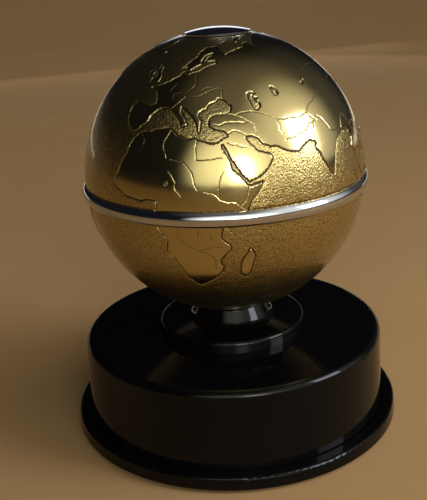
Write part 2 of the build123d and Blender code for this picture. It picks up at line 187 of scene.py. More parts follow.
south_america = [
    (-75.5, 10.5), (-72, 12), (-71.5, 11), (-68, 11), (-62, 10.5), (-59.5, 8), (-52, 5), (-50, 0.5),
    (-44, -2.5), (-37.5, -5), (-35, -7.5), (-38.5, -13), (-39.5, -19), (-42, -23), (-48, -25.5), (-49, -29),
    (-53.5, -34), (-58.5, -34), (-57, -37), (-62, -39), (-65, -42), (-67.5, -46), (-66, -49), (-69, -52),
    (-66, -55), (-71, -54), (-75, -50), (-74, -43), (-73.5, -37), (-71.5, -32), (-70, -22), (-71, -18),
    (-76, -14), (-79.5, -8), (-81, -5), (-80.5, -1.5), (-77.5, 4), (-78, 7.5), (-80, 7.5),
]
north_america_west = [
    (-83, 8.5), (-86, 11), (-91, 14), (-95, 16), (-101, 17.5), (-105.5, 20.5), (-106, 23), (-109.5, 26),
    (-113, 31), (-115, 31.5), (-112.5, 28), (-109.5, 23), (-112.5, 26), (-115, 29.5), (-117, 32.5),
    (-120.5, 34.5), (-124, 40), (-124, 46.5), (-127, 50), (-131, 54.5), (-137, 58.5), (-147, 60.5),
    (-152, 59), (-158, 56.5), (-164, 55), (-158.5, 58.5), (-162, 59.5), (-165, 62.5),
]
new_world = north_america_east + south_america + north_america_west

islands = {
    "madagascar": [
        (44, -15), (43.5, -16.5), (42.5, -18), (41.5, -19.5), (41, -22), (40.5, -25), (41, -27.5),
        (42.5, -29), (44, -28), (45, -25.5), (45.5, -22.5), (46, -20), (46.5, -19), (45.5, -16.5),
    ],
    "britain": [
        (-5, 47.5), (-1.5, 47.5), (1, 48.5), (0.5, 51), (-1.5, 53), (-2.5, 56), (-5, 56.5), (-4.5, 53),
        (-3, 51), (-5.5, 49.5),
    ],
    "ireland": [(-9, 50.5), (-6.5, 51), (-6, 53.5), (-8.5, 54.5), (-10.5, 52.5)],
    "iceland": [(-22, 62), (-16, 62.5), (-14, 64), (-17, 65.5), (-22, 65.5), (-24, 63.5)],
    "greenland": [
        (-44, 59), (-38, 62), (-28, 65), (-22, 68.5), (-21, 72), (-19, 75.5), (-30, 76.5), (-58, 76),
        (-68, 75.5), (-58, 73), (-54, 69), (-52, 65), (-48, 60.5),
    ],
    "novaya_zemlya": [(53, 69.5), (57, 70), (67, 75), (62, 75.5), (55, 73)],
    "baffin": [(-66, 62.5), (-62, 66.5), (-70, 70.5), (-85, 73.5), (-88, 72), (-78, 69), (-73, 65.5)],
    "victoria": [(-117, 70), (-105, 69.5), (-105, 72.5), (-118, 73)],
    "newfoundland": [(-59, 47.5), (-53.5, 47), (-55.5, 51.5)],
    "cuba": [(-84.5, 22), (-80, 23.5), (-75, 20.5), (-77.5, 20)],
    "hispaniola": [(-74, 18.5), (-73, 20), (-69, 18.5)],
    "japan": [
        (130.5, 31.5), (132, 33.5), (136, 34), (140.5, 35.5), (141.5, 39), (141, 41), (139.5, 39.5),
        (137, 37), (133, 35.5), (130, 33.5),
    ],
    "hokkaido": [(140, 42.5), (143, 42), (145, 43.5), (142, 45.5), (141, 43.5)],
    "sakhalin": [(142, 47), (144, 49), (143.5, 54), (142.5, 52)],
    "taiwan": [(120.5, 22.5), (121.5, 24), (121.5, 25.5), (120, 24)],
    "luzon": [(120.5, 14), (123.5, 13), (122, 15.5), (122, 18), (120.5, 18), (120, 16)],
    "mindanao": [(122.5, 7), (125.5, 6), (126, 9), (124, 8.5)],
    "borneo": [
        (109, 1.5), (110, -2.5), (114.5, -3.5), (116.5, -1), (118.5, 1), (118, 4.5), (116.5, 6.5),
        (113.5, 3.5), (111, 2.5),
    ],
    "sumatra": [
        (95.5, 5.5), (98, 4), (101, 1.5), (104, -2), (106, -5.5), (102.5, -4.5), (99.5, -0.5), (97, 3),
    ],
    "java": [(105.5, -6.5), (109, -7), (114, -7.5), (114, -9), (108.5, -8.5), (105.5, -7.5)],
    "sulawesi": [(119.5, -5), (120.5, -3), (122.5, -5), (121.5, -1.5), (124.5, 1), (120.5, 1), (119.5, -2)],
    "new_guinea": [
        (131, -1), (134.5, -1), (135.5, -3.5), (138, -2), (141.5, -3), (145, -4.5), (148, -6.5),
        (150.5, -10.5), (147, -9.5), (143, -9), (139, -8), (136.5, -5), (132.5, -4),
    ],
    "australia": [
        (114, -22), (115.5, -31), (115.5, -34.5), (118.5, -35), (124, -33), (131, -31.5), (135.5, -34.5),
        (138, -33.5), (140, -37.5), (144, -38.5), (147.5, -38), (150, -37), (153, -31), (153, -26),
        (149, -21), (146, -18.5), (145, -15), (142.5, -11), (141.5, -14), (140.5, -17.5), (136.5, -15.5),
        (136, -12), (131, -12), (129, -15), (126, -14), (122.5, -17.5), (119, -20),
    ],
    "tasmania": [(145, -41), (148, -41), (147.5, -43.5), (146, -43)],
    "new_zealand_north": [(173, -35), (175.5, -37), (178, -38), (176, -41), (174, -39.5)],
    "new_zealand_south": [
        (173, -41.5), (174, -42.5), (171, -44.5), (168.5, -46.5), (167, -45.5), (170.5, -43),
    ],
}
lakes = {
    "caspian": [
        (49.5, 42.5), (51, 42.5), (52, 41.5), (50.5, 40.5), (53.5, 40), (51, 39.5), (52.5, 39), (53.5, 38),
        (53, 36.5), (52, 35.5), (50.5, 35.5), (49.5, 37), (49, 38.5), (48.5, 40.5), (48.5, 42),
    ],
    "aral": [(61.5, 44), (62.5, 44), (63.5, 43), (64, 41), (63, 40), (61.5, 40.5), (61, 42), (61, 43)],
    "baikal": [(80.5, 44), (80, 42.5), (82, 43), (84, 44.5), (81.5, 43.5)],
    "superior": [(-92, 47), (-87, 48.5), (-84.5, 46.5), (-88, 46.5)],
    "michigan": [(-87.5, 42), (-86, 42.5), (-85.5, 45.5), (-87.5, 45)],
}
# Antarctica goes round the pole, so it is closed along the pole where its inside is tested
antarctica = [
    (-180, -77), (-160, -76), (-140, -74.5), (-120, -73.5), (-100, -72.5), (-80, -72), (-68, -68),
    (-58, -63.5), (-60, -68), (-62, -74), (-40, -76.5), (-20, -73), (0, -70), (25, -69.5), (50, -66.5),
    (70, -68.5), (90, -66.5), (115, -66.5), (135, -66), (150, -68.5), (165, -71), (172, -76), (180, -77),
]

borders = [
    # Africa
    [(2, 27), (3.5, 25.5), (3.5, 24), (2.5, 21.5)],
    [(15, 29), (14, 27), (12.5, 25), (12.5, 23.5), (13.5, 21), (14, 19)],
    [(25.5, 25.5), (25.5, 18.5), (29.5, 18.5), (35.5, 19)],
    [(15.5, 18.5), (19, 18), (21, 17.5), (22.5, 16), (24, 14), (24.5, 12), (25, 9.5), (26, 8)],
    [(15, 14.5), (16.5, 13), (18, 10.5), (17.5, 9.5), (18, 8), (20, 5.5)],
    [(13.5, 10), (14.5, 9), (15, 10), (14.5, 11), (13.5, 10)],
    [(28.5, 7.5), (31, 7), (33, 6), (34, 4.5), (36.5, 3.5), (39.5, 3.5), (41, 2), (43, 0.5)],
    [(35.5, 14), (34, 11.5), (33.5, 8.5), (33.5, 6), (34, 4.5)],
    [(44.5, 8.5), (44, 6.5), (43, 3.5), (41, 2)],
    [(17.5, -6.5), (17.5, -10.5), (19.5, -12.5), (21.5, -13.5), (24.5, -15), (28, -16.5), (30.5, -18),
     (31, -20), (30.5, -24)],
    [(25.5, -15), (27, -14.5), (30.5, -14), (33.5, -13.5)],
    [(25.5, -6.5), (25, -9.5)],
    [(29.5, -8.5), (30, -11)],
    # Asia
    [(38.5, 34.5), (41.5, 34), (44, 35), (48, 35), (51.5, 34.5), (55, 33), (57.5, 31.5), (61.5, 30.5),
     (65, 31), (70, 30.5), (72, 31), (74.5, 32), (78, 34.5), (82.5, 36), (88, 38.5), (92, 40.5), (98, 42),
     (107, 41.5), (116, 42.5), (119.5, 46), (122, 51), (128, 49), (134, 47.5), (131, 43)],
    [(41.5, 34), (45, 32.5), (46.5, 31.5)],
    [(32.5, 31), (35, 30.5), (37.5, 31.5), (41, 31.5), (45, 31), (46.5, 31.5), (49, 29.5), (49.5, 27)],
    [(38, 27.5), (40, 28.5), (43, 27.5), (45, 26.5)],
    [(37.5, 24.5), (39.5, 23.5), (41, 23.5), (42.5, 22.5), (44.5, 22.5)],
    [(58.5, 31), (59.5, 29), (59, 27), (60, 25.5)],
    [(61, 23), (64, 23.5), (68, 24.5), (72, 26), (74, 27.5), (77.5, 28), (79, 29.5), (81, 28.5), (82.5, 26),
     (84.5, 23), (88.5, 22.5), (92, 22.5)],
    [(75.5, 30.5), (77, 29), (78, 28)],
    [(76, 27.5), (74.5, 24.5), (74.5, 22)],
    [(88, 48), (98, 50), (107, 49.5), (116, 49.5), (119.5, 46)],
    [(92, 22.5), (94, 26), (97.5, 27.5), (101, 22), (105, 23), (108, 21.5)],
    [(101, 22), (104, 18), (107, 15), (106, 11)],
    # Europe
    [(13.5, 37), (15, 38.5), (17, 40), (19.5, 42)],
    [(21, 42), (26, 42), (29.5, 43.5), (32, 44.5), (34, 45), (36.5, 44.5), (36.5, 41.5)],
    [(27, 44.5), (28.5, 45.5), (32, 45.5)],
    [(10.5, 44), (12.5, 47.5)],
    [(13, 41), (13, 43), (16, 43.5), (20, 43.5), (21.5, 45), (23.5, 47), (22.5, 51.5)],
    # the Americas
    [(-123, 49), (-95, 49), (-89, 48)],
    [(-117, 32.5), (-111, 31.5), (-106.5, 32), (-101.5, 29.5), (-97.5, 26)],
    [(-141, 69.5), (-141, 60.5)],
    [(-52, 4.5), (-60, 4.5), (-69.5, 1), (-70, -4.5), (-73, -7.5), (-70, -11), (-65, -10.5), (-60.5, -14),
     (-58, -20), (-54.5, -25.5), (-57.5, -30), (-53.5, -33.5)],
    [(-80.5, -3.5), (-75, -0.5), (-70, -4.5)],
    [(-71.5, 11.5), (-72, 7.5), (-67.5, 6), (-67, 1.5)],
    [(-68, -22), (-69.5, -30), (-71, -38), (-72, -46), (-71, -52)],
    [(-69.5, -17.5), (-67, -22.5), (-62.5, -22), (-58, -27), (-54.5, -25.5)],
    # Australia
    [(129, -15), (129, -31.5)],
    [(138, -16.5), (138, -26), (141, -26), (141, -37.5)],
    [(129, -26), (138, -26)],
]

# ---- Drawing the map's lines on the ball ----


def on_ball(longitudes, latitudes):
    """Points of the ball's surface about its centre, from arrays of degrees."""
    turn = np.radians(np.asarray(longitudes, float) - facing_longitude)
    rise = np.radians(np.asarray(latitudes, float))
    across = np.cos(rise)
    return ball_radius * np.stack([across * np.sin(turn), -across * np.cos(turn), np.sin(rise)], axis=1)


def map_place(points):
    """Longitudes and latitudes, in degrees, of points about the ball's centre."""
    longitudes = facing_longitude + np.degrees(np.arctan2(points[:, 0], -points[:, 1]))
    return longitudes, np.degrees(np.arcsin(points[:, 2] / np.linalg.norm(points, axis=1)))


def onto_ball(points):
    return ball_radius * points / np.linalg.norm(points, axis=1)[:, None]


def waviness(point):
    """A small sideways wander, so that no coast or border runs ruler-straight."""
    broad = noise.noise_vector(point / broad_wander_size) * broad_wander
    fine = noise.noise_vector(point / fine_wander_size) * fine_wander
    return broad + fine


def drawn(outline, closed):
    """Samples along a map line, one each line_step, with its corners softened and a slight waviness."""
    corners = outline + outline[:1] if closed else outline
    places = []
    for (lon, lat), (next_lon, next_lat) in zip(corners, corners[1:]):
        shrink = cos(radians((lat + next_lat) / 2))
        length = radians(hypot((next_lon - lon) * shrink, next_lat - lat)) * ball_radius
        steps = ceil(length / line_step)
        for i in range(steps):
            places.append((lon + (next_lon - lon) * i / steps, lat + (next_lat - lat) * i / steps))
    if not closed:
        places.append(corners[-1])
    line = on_ball(*np.array(places, float).T)
    for _ in range(line_softening):
        softened = (np.roll(line, 1, axis=0) + line + np.roll(line, -1, axis=0)) / 3
        if not closed:
            softened[0], softened[-1] = line[0], line[-1]
        line = onto_ball(softened)
    return onto_ball(line + np.array([waviness(Vector(p)) for p in line]))


class DrawnLines:
    """Map lines on the ball, which measure how far a point is from the nearest, and on which side."""

    def __init__(self, lines, closed):
        self.here = np.concatenate(lines)
        drawn_lines = list(zip(lines, closed))
        self.before = np.concatenate(
            [line[[-1 if shut else 0, *range(len(line) - 1)]] for line, shut in drawn_lines])
        self.after = np.concatenate(
            [line[[*range(1, len(line)), 0 if shut else -1]] for line, shut in drawn_lines])
        self.tree = kdtree.KDTree(len(self.here))
        for index, point in enumerate(self.here):
            self.tree.insert(point, index)
        self.tree.balance()

    def offset(self, points):
        """Signed distance of each point to the nearest line: positive on the line's left."""
        nearest = np.fromiter((self.tree.find(p)[1] for p in points), int, len(points))
        best = np.full(len(points), np.inf)
        before, here, after = self.before[nearest], self.here[nearest], self.after[nearest]
        for start, end in ((before, here), (here, after)):
            along = end - start
            share = ((points - start) * along).sum(axis=1) / np.maximum((along**2).sum(axis=1), 1e-9)
            away = points - start - np.clip(share, 0, 1)[:, None] * along
            distance = np.linalg.norm(away, axis=1)
            left = (np.cross(along, away) * points).sum(axis=1) >= 0
            best = np.where(distance < np.abs(best), np.where(left, distance, -distance), best)
        return best


shores = [drawn(old_world, True), drawn(new_world, True)]
shores += [drawn(outline, True) for outline in [*islands.values(), *lakes.values()]]
ice_shore = drawn(antarctica, False)
coast_lines = DrawnLines(shores + [ice_shore], [True] * len(shores) + [False])
border_lines = DrawnLines([drawn(border, False) for border in borders], [False] * len(borders))


def flat_outlines():
    """Every shore as longitude and latitude corners in order, without a jump at the date line."""
    for shore in shores:
        longitudes, latitudes = map_place(shore)
        longitudes = np.degrees(np.unwrap(np.radians(longitudes)))
        yield np.stack([longitudes, latitudes], axis=1)
    longitudes, latitudes = map_place(ice_shore)
    longitudes = np.degrees(np.unwrap(np.radians(longitudes)))
    west, east = longitudes[0], longitudes[-1]
    corners = np.stack([longitudes, latitudes], axis=1)
    yield np.concatenate([corners, [(east, -90), (west, -90)]])


outlines = list(flat_outlines())


def is_land(points):
    """Whether each point is inside an odd number of shores, so that a lake is sea again."""
    longitudes, latitudes = map_place(points)
    order = np.argsort(latitudes)
    sorted_lat = latitudes[order]
    land = np.zeros(len(points), bool)
    for corners in outlines:
        for turns in (-360, 0, 360):
            shifted = longitudes[order] + turns
            if shifted.max() < corners[:, 0].min() or shifted.min() > corners[:, 0].max():
                continue
            ends = np.roll(corners, -1, axis=0)
            first = np.searchsorted(sorted_lat, np.minimum(corners[:, 1], ends[:, 1]))
            last = np.searchsorted(sorted_lat, np.maximum(corners[:, 1], ends[:, 1]))
            inside = np.zeros(len(points), bool)
            for k in np.nonzero(last > first)[0]:
                band = slice(first[k], last[k])
                (lon, lat), (next_lon, next_lat) = corners[k], ends[k]
                crossing = lon + (sorted_lat[band] - lat) * (next_lon - lon) / (next_lat - lat)
                inside[band] ^= shifted[band] < crossing
            land[order] ^= inside
    return land


# ---- The pressed hemispheres ----


def vertex_array(bm):
    return np.array([v.co for v in bm.verts])


def on_skin(points):
    """Whether each point is on the ball's outer skin, and so not in its wall, rim or pole pad."""
    return np.abs(np.linalg.norm(points, axis=1) - ball_radius) < skin_tolerance


def plain_shell(name, half):
    """A closed hemisphere with its pole's pad and hole. half is 1 for the north and -1 for the south."""
    bm = bmesh.new()
    bmesh.ops.create_icosphere(bm, subdivisions=ball_subdivisions, radius=ball_radius)
    step_height = (ball_radius**2 - pole_step_radius**2) ** 0.5
    for height, keeps_above in ((0.0, True), (step_height, False)):
        up = half if keeps_above else -half
        bmesh.ops.bisect_plane(
            bm, geom=bm.verts[:] + bm.edges[:] + bm.faces[:], dist=rim_tolerance,
            plane_co=(0, 0, half * height), plane_no=(0, 0, up), clear_inner=True,
        )
    for vert in bm.verts:
        if abs(vert.co.z) < 1.2 * rim_tolerance:
            vert.co.z = 0.0
            vert.co = vert.co.normalized() * ball_radius
    rim = [e for e in bm.edges if e.is_boundary and abs(e.verts[0].co.z) > ball_radius / 2]
    for radius in (pole_pad_radius, pole_holes[name]):
        made = bmesh.ops.extrude_edge_only(bm, edges=rim)["geom"]
        rim = [e for e in made if isinstance(e, bmesh.types.BMEdge) and e.is_boundary]
        for vert in {v for e in rim for v in e.verts}:
            across = Vector((vert.co.x, vert.co.y, 0)).normalized() * radius
            vert.co = across + Vector((0, 0, half * pole_pad_height))
    bmesh.ops.recalc_face_normals(bm, faces=bm.faces[:])
    if bm.faces[0].normal.dot(bm.faces[0].calc_center_median()) < 0:
        bmesh.ops.reverse_faces(bm, faces=bm.faces[:])
    bmesh.ops.solidify(bm, geom=bm.faces[:], thickness=shell_thickness)
    bmesh.ops.triangulate(bm, faces=bm.faces[:])
    return bm


def refine(bm):
    """Halves the skin's edges until they suit what is drawn there: fine by a line, middling at sea."""
    for _ in range(halvings):
        points = vertex_array(bm)
        skin = on_skin(points)
        away = np.full(len(points), np.inf)
        away[skin] = np.minimum(
            np.abs(coast_lines.offset(points[skin])), np.abs(border_lines.offset(points[skin]))
        )
        limit = np.full(len(points), land_edge)
        limit[skin] = np.where(is_land(points[skin]), land_edge, sea_edge)
        grown = finest_edge + edge_growth * np.maximum(away - 2 * finest_edge, 0)
        wanted = np.minimum(limit, grown)
        ends = np.array([(e.verts[0].index, e.verts[1].index) for e in bm.edges])
        length = np.linalg.norm(points[ends[:, 0]] - points[ends[:, 1]], axis=1)
        target = edge_slack * np.minimum(wanted[ends[:, 0]], wanted[ends[:, 1]])
        reach = away[ends].min(axis=1) < length  # a line may pass between the two ends
        target = np.where(reach, edge_slack * finest_edge, target)
        long = (length > target) & skin[ends].all(axis=1)
        if not long.any():
            break
        bm.edges.ensure_lookup_table()
        bmesh.ops.subdivide_edges(bm, edges=[bm.edges[i] for i in np.nonzero(long)[0]], cuts=1)
        for vert in bm.verts:
            if vert.co.length > ball_radius - 2 * chord_sag:
                vert.co = vert.co.normalized() * ball_radius
        bmesh.ops.triangulate(bm, faces=[f for f in bm.faces if len(f.verts) > 3])


def cut_along(bm, layer, level):
    """Splits each triangle that the curve of one offset crosses, so that the curve becomes edges."""
    values = np.array([v[layer] for v in bm.verts]) - level
    ends = np.array([(e.verts[0].index, e.verts[1].index) for e in bm.edges])
    first, second = values[ends[:, 0]], values[ends[:, 1]]
    near = corner_share * finest_edge
    crossed = (first * second < 0) & (np.abs(first) < cut_reach) & (np.abs(second) < cut_reach)
    crossed &= (np.abs(first) > near) & (np.abs(second) > near)
    bm.edges.ensure_lookup_table()
    bm.verts.ensure_lookup_table()
    on_curve = [bm.verts[i] for i in np.nonzero(np.abs(values) <= near)[0]]
    for edge, a, b in [(bm.edges[i], first[i], second[i]) for i in np.nonzero(crossed)[0]]:
        on_curve.append(bmesh.utils.edge_split(edge, edge.verts[0], a / (a - b))[1])
    bmesh.ops.connect_verts(bm, verts=on_curve)
    bmesh.ops.triangulate(bm, faces=[f for f in bm.faces if len(f.verts) > 3])
    bm.verts.index_update()


def relief_shell(name, half):
    """A hemisphere pressed with the map: level land, a cut coastline, a beaten sea and engraved borders."""
    bm = plain_shell(name, half)
    refine(bm)
    coast = bm.verts.layers.float.new("coast_offset")
    border = bm.verts.layers.float.new("border_offset")

    def measured():
        points = vertex_array(bm)
        skin = on_skin(points)
        from_coast = np.full(len(points), far_away)
        from_border = np.full(len(points), far_away)
        sides = np.where(is_land(points[skin]), 1, -1)
        from_coast[skin] = np.abs(coast_lines.offset(points[skin])) * sides
        from_border[skin] = border_lines.offset(points[skin])
        return points, skin, from_coast, from_border

    points, skin, from_coast, from_border = measured()
    for vert, c, b in zip(bm.verts, from_coast, from_border):
        vert[coast] = c
        vert[border] = b
    for level in (land_lip, groove_wall, groove_far, sea_foot):
        cut_along(bm, coast, level)
    for level in (-border_half_width, 0.0, border_half_width):
        cut_along(bm, border, level)
    for vert in bm.verts:
        if ball_radius - chord_sag < vert.co.length < ball_radius:
            vert.co = vert.co.normalized() * ball_radius
    points, skin, from_coast, from_border = measured()

    section = (sea_foot, groove_far, groove_wall, land_lip)  # offsets where the coast's section bends
    depth = np.interp(from_coast, section, (sea_depth, groove_depth, groove_depth, 0))
    at_sea = np.clip((sea_foot - from_coast) / sea_beating_fade, 0, 1)
    beaten = np.array([noise.noise(Vector(p) / hammer_size) for p in points]) * hammer_depth
    depth += beaten * at_sea
    on_land = np.clip((from_coast - land_lip) / border_fade, 0, 1)
    engraved = np.interp(np.abs(from_border), (0, border_half_width), (border_depth, 0)) * on_land
    depth += engraved
    # the skin is level under the bead and at the pole's step
    heights = points[:, 2]
    under_bead = (heights < bead_top - smooth_margin) & (heights > bead_bottom + smooth_margin)
    across = np.hypot(points[:, 0], points[:, 1])
    at_pole = across < pole_step_radius + smooth_margin
    depth = np.where(~skin | under_bead | at_pole, 0, depth)
    for vert, d in zip(bm.verts, depth):
        vert.co -= vert.co.normalized() * d

    bm.verts.layers.float.remove(bm.verts.layers.float["coast_offset"])
    bm.verts.layers.float.remove(bm.verts.layers.float["border_offset"])
    bmesh.ops.recalc_face_normals(bm, faces=bm.faces[:])
    mesh = bpy.data.meshes.new(name + "_relief")
    bm.to_mesh(mesh)
    bm.free()
    land = mesh.attributes.new("land", "FLOAT", "POINT")
    land_share = np.clip(from_coast / land_lip + 0.5, 0, 1)
    land.data.foreach_set("value", np.where(skin, land_share, 1).astype(np.float32))
    # the groove attribute carries the painted shade of the coast's cut and the borders, and where they are
    # rougher
    groove = mesh.attributes.new("groove", "FLOAT", "POINT")
    coast_cut = np.interp(from_coast, section, (0, 1, 1, 0))
    border_painted_shade = 0.8  # the shallow borders get a little less painted shade than the coast's cut
    cut = np.maximum(coast_cut, border_painted_shade * engraved / border_depth)
    groove.data.foreach_set("value", np.where(skin, cut, 0).astype(np.float32))
    mesh.polygons.foreach_set("use_smooth", [True] * len(mesh.polygons))
    mesh.transform(Matrix.Translation((0, 0, ball_centre_z * MM)) @ Matrix.Scale(MM, 4))
    print(name, "triangles", len(mesh.polygons))
    piece = bpy.data.objects.new(name + "_relief", mesh)
    bpy.context.scene.collection.objects.link(piece)
    return piece


# ---- Materials ----


def linear(code):
    """An sRGB hex colour as linear red, green, blue and alpha."""
    parts = [int(code[i:i + 2], 16) / 255 for i in (1, 3, 5)]
    return [p / 12.92 if p <= 0.04045 else ((p + 0.055) / 1.055) ** 2.4 for p in parts] + [1.0]


def add_node(tree, kind, inputs=None, **settings):
    """Adds one node with its settings. inputs gives each socket a value, or a socket to link to."""
    made = tree.nodes.new(kind)
    for setting, value in settings.items():
        setattr(made, setting, value)
    for socket, value in (inputs or {}).items():
        if isinstance(value, bpy.types.NodeSocket):
            tree.links.new(value, made.inputs[socket])
        else:
            made.inputs[socket].default_value = value
    return made


def new_material(name):
    """An empty material, with its node tree and the socket that its shader goes to."""
    material = bpy.data.materials.new(name)
    material.use_nodes = True
    tree = material.node_tree
    tree.nodes.clear()
    return material, tree, add_node(tree, "ShaderNodeOutputMaterial")


def per_metre(size_mm):
    """A texture's scale on Object coordinates for a pattern of that size."""
    return 1 / (size_mm * MM)


def gold_anodised_relief():
    """Gold-dyed anodised aluminium: polished land, fine beaten sea, and painted shade, a dark brown, in the
    cuts.
    """
    material, tree, out = new_material("gold_anodised_relief")
    place = add_node(tree, "ShaderNodeTexCoord").outputs["Object"]
    land = add_node(tree, "ShaderNodeAttribute", attribute_name="land").outputs["Fac"]
    groove = add_node(tree, "ShaderNodeAttribute", attribute_name="groove").outputs["Fac"]

    # beaten grain of the sea, short strokes about a millimetre apart
    bent = add_node(tree, "ShaderNodeTexNoise", {"Vector": place, "Scale": per_metre(3.0), "Detail": 1.0})
    strayed = add_node(
        tree, "ShaderNodeVectorMath", {0: bent.outputs["Color"], 1: (0.0014,) * 3}, operation="MULTIPLY"
    ).outputs[0]
    wandering = add_node(tree, "ShaderNodeVectorMath", {0: place, 1: strayed}, operation="ADD").outputs[0]
    cells = add_node(
        tree, "ShaderNodeTexVoronoi", {"Vector": wandering, "Scale": per_metre(0.7), "Randomness": 1.0},
        feature="SMOOTH_F1",
    ).outputs["Distance"]
    grit = add_node(
        tree, "ShaderNodeTexNoise",
        {"Vector": wandering, "Scale": per_metre(0.55), "Detail": 2.0, "Roughness": 0.6},
    ).outputs["Fac"]
    beaten = add_node(tree, "ShaderNodeMath", {0: cells, 1: grit}, operation="ADD").outputs[0]
    sea = add_node(tree, "ShaderNodeMath", {0: 1.0, 1: land}, operation="SUBTRACT").outputs[0]
    sea_height = add_node(tree, "ShaderNodeMath", {0: beaten, 1: sea}, operation="MULTIPLY").outputs[0]
    sea_bump = add_node(
        tree, "ShaderNodeBump", {"Strength": 0.9, "Distance": 0.18 * MM, "Height": sea_height}
    ).outputs["Normal"]

    # the land was buffed before it was dyed, so it keeps a faint orange-peel waviness
    peel = add_node(
        tree, "ShaderNodeTexNoise", {"Vector": place, "Scale": per_metre(9.0), "Detail": 1.0}
    ).outputs["Fac"]
    surface = add_node(
        tree, "ShaderNodeBump",
        {"Strength": 0.12, "Distance": 0.05 * MM, "Height": peel, "Normal": sea_bump},
    ).outputs["Normal"]

    worn = add_node(
        tree, "ShaderNodeTexNoise",
        {"Vector": place, "Scale": per_metre(14.0), "Detail": 4.0, "Roughness": 0.6},
    ).outputs["Fac"]
    dye = add_node(
        tree, "ShaderNodeMix", {"Factor": worn, "A": linear("#CDBA80"), "B": linear("#BFAB6E")},
        data_type="RGBA",
    ).outputs["Result"]
    sea_dye = add_node(
        tree, "ShaderNodeMix", {"Factor": sea, "A": dye, "B": linear("#C2AE70")}, data_type="RGBA"
    ).outputs["Result"]
    pits = add_node(
        tree, "ShaderNodeMapRange",
        {"Value": beaten, "From Min": 0.62, "From Max": 0.95, "To Min": 0.75, "To Max": 0.0},
    ).outputs["Result"]
    sea_pits = add_node(tree, "ShaderNodeMath", {0: pits, 1: sea}, operation="MULTIPLY").outputs[0]
    pitted = add_node(
        tree, "ShaderNodeMix", {"Factor": sea_pits, "A": sea_dye, "B": linear("#5F4820")}, data_type="RGBA"
    ).outputs["Result"]
    # painted shade: the coast's cut and the borders are darkened to a dark brown
    colour = add_node(
        tree, "ShaderNodeMix", {"Factor": groove, "A": pitted, "B": linear("#34260F")}, data_type="RGBA"
    ).outputs["Result"]
    fresh = add_node(
        tree, "ShaderNodeMapRange",
        {"Value": worn, "From Min": 0.3, "From Max": 0.75, "To Min": 0.13, "To Max": 0.2},
    ).outputs["Result"]
    sea_rough = add_node(
        tree, "ShaderNodeMix", {"Factor": sea, "A": fresh, "B": 0.3}, data_type="FLOAT"
    ).outputs["Result"]
    rough = add_node(
        tree, "ShaderNodeMix", {"Factor": groove, "A": sea_rough, "B": 0.55}, data_type="FLOAT"
    ).outputs["Result"]
    shader = add_node(
        tree, "ShaderNodeBsdfPrincipled",
        {"Base Color": colour, "Metallic": 1.0, "Roughness": rough, "Normal": surface,
         "Coat Weight": 0.55, "Coat Roughness": 0.05},
    )
    tree.links.new(shader.outputs[0], out.inputs["Surface"])
    return material


def simple_finish(
        name, colour, second_colour, metallic, specular, rough, rough_spread,
        patch_mm, grain_mm, grain_depth):
    """A finish with a slow drift of colour and gloss, and a fine surface grain."""
    material, tree, out = new_material(name)
    place = add_node(tree, "ShaderNodeTexCoord").outputs["Object"]
    drift = add_node(
        tree, "ShaderNodeTexNoise",
        {"Vector": place, "Scale": per_metre(patch_mm), "Detail": 4.0, "Roughness": 0.6},
    ).outputs["Fac"]
    tint = add_node(
        tree, "ShaderNodeMix", {"Factor": drift, "A": linear(colour), "B": linear(second_colour)},
        data_type="RGBA",
    ).outputs["Result"]
    gloss = add_node(
        tree, "ShaderNodeMapRange",
        {"Value": drift, "From Min": 0.3, "From Max": 0.7, "To Min": rough - rough_spread,
         "To Max": rough + rough_spread},
    ).outputs["Result"]
    grain = add_node(
        tree, "ShaderNodeTexNoise", {"Vector": place, "Scale": per_metre(grain_mm), "Detail": 2.0}
    ).outputs["Fac"]
    surface = add_node(
        tree, "ShaderNodeBump", {"Strength": 0.6, "Distance": grain_depth * MM, "Height": grain}
    ).outputs["Normal"]
    shader = add_node(
        tree, "ShaderNodeBsdfPrincipled",
        {"Base Color": tint, "Metallic": metallic, "Roughness": gloss, "Normal": surface,
         "Specular IOR Level": specular},
    )
    tree.links.new(shader.outputs[0], out.inputs["Surface"])
    return material


finishes = {
    slot: simple_finish(*look)
    for slot, look in {
        # name, two colours, metallic, specular, roughness and its spread, then in mm the patches,
        # the grain and the grain's depth
        "bright_chrome": (
            "bright_chrome_plate", "#DADCE2", "#C9CBD3", 1.0, 0.5, 0.06, 0.03, 6.0, 2.5, 0.004),
        "black_gloss": (
            "black_gloss_polystyrene", "#040405", "#070708", 0.0, 0.2, 0.08, 0.03, 12.0, 5.0, 0.006),
        "rubber_feet": ("black_rubber", "#17171A", "#202023", 0.0, 0.5, 0.75, 0.08, 4.0, 0.5, 0.05),
        "zinc_steel": ("zinc_plated_steel", "#B9BCC2", "#A6A9AF", 1.0, 0.5, 0.35, 0.08, 7.0, 0.8, 0.01),
        "fastener_steel": ("bright_steel", "#C5C7CB", "#B2B4B9", 1.0, 0.5, 0.3, 0.06, 3.0, 0.5, 0.01),
        "cast_iron": ("sand_cast_iron", "#4A4744", "#3A3836", 0.9, 0.5, 0.65, 0.1, 5.0, 0.9, 0.08),
        "brass": ("turned_brass", "#D9BC77", "#C7A661", 1.0, 0.5, 0.3, 0.06, 4.0, 0.4, 0.01),
        "bronze": ("sintered_bronze", "#B98A5E", "#A2764D", 1.0, 0.5, 0.45, 0.06, 3.0, 0.4, 0.02),
        "plain_aluminium": ("mill_aluminium", "#D0D2D4", "#BFC1C4", 1.0, 0.5, 0.32, 0.06, 5.0, 0.7, 0.01),
    }.items()
}
